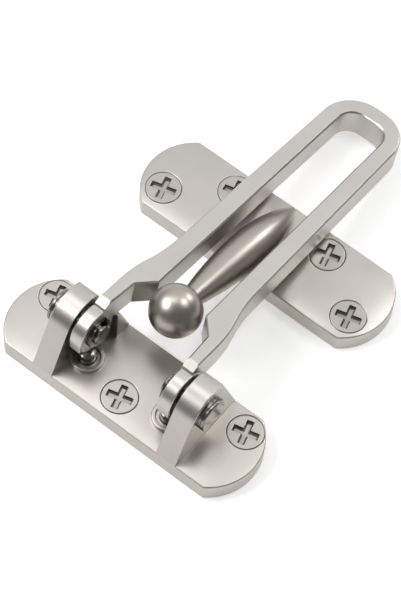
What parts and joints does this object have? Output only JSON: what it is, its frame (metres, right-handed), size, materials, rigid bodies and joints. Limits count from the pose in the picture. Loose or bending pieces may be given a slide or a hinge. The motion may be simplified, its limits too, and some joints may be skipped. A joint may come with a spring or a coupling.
{
  "type": "swing bar door guard",
  "caption": "Surface-mounted door guard: a U-shaped swing bar on a hinge base drops over a ball-ended post on a keeper plate, so a door opens only a little.",
  "frame": {"origin": "centre of the hinge base's mounting face", "axes": "+X along the hinge axis, +Y from the hinge base to the keeper plate, +Z out of the mounting surface"},
  "size_m": [0.065, 0.0995, 0.034],
  "materials": {
    "satin_nickel_casting": "satin nickel plate on a zinc casting",
    "nickel_plated_steel": "satin nickel plate",
    "dark_washer_steel": "dark oiled",
    "spring_steel": "bright spring steel",
    "screw_steel": "satin nickel plate"
  },
  "bodies": {
    "base": {"hinge_base": "satin_nickel_casting", "keeper_plate": "satin_nickel_casting", "left_hinge_pin": "nickel_plated_steel", "left_pivot_washer": "dark_washer_steel", "left_head_washer": "nickel_plated_steel", "left_retaining_clip": "spring_steel", "left_disc_springs": "spring_steel", "left_plunger_plug": "nickel_plated_steel", "right_hinge_pin": "nickel_plated_steel", "right_pivot_washer": "dark_washer_steel", "right_head_washer": "nickel_plated_steel", "right_retaining_clip": "spring_steel", "right_disc_springs": "spring_steel", "right_plunger_plug": "nickel_plated_steel", "hinge_base_screws": "screw_steel", "keeper_screws": "screw_steel"},
    "bar": {"swing_bar": "satin_nickel_casting"},
    "left_plunger": {"left_plunger": "nickel_plated_steel"},
    "right_plunger": {"right_plunger": "nickel_plated_steel"}
  },
  "joints": [
    {"name": "bar_swing", "type": "hinge", "parent": "base", "child": "bar", "pos_m": [0, 0, 0.0144], "axis": [1, 0, 0], "range_deg": [0, 180]},
    {"name": "left_plunger_slide", "type": "slide", "parent": "base", "child": "left_plunger", "axis": [0, 0, 1], "range_m": [-0.0006, 0], "stiffness_N_per_m": 1500, "springref_m": 0.001, "deforming": ["left_disc_springs"]},
    {"name": "right_plunger_slide", "type": "slide", "parent": "base", "child": "right_plunger", "axis": [0, 0, 1], "range_m": [-0.0006, 0], "stiffness_N_per_m": 1500, "springref_m": 0.001, "deforming": ["right_disc_springs"]}
  ]
}
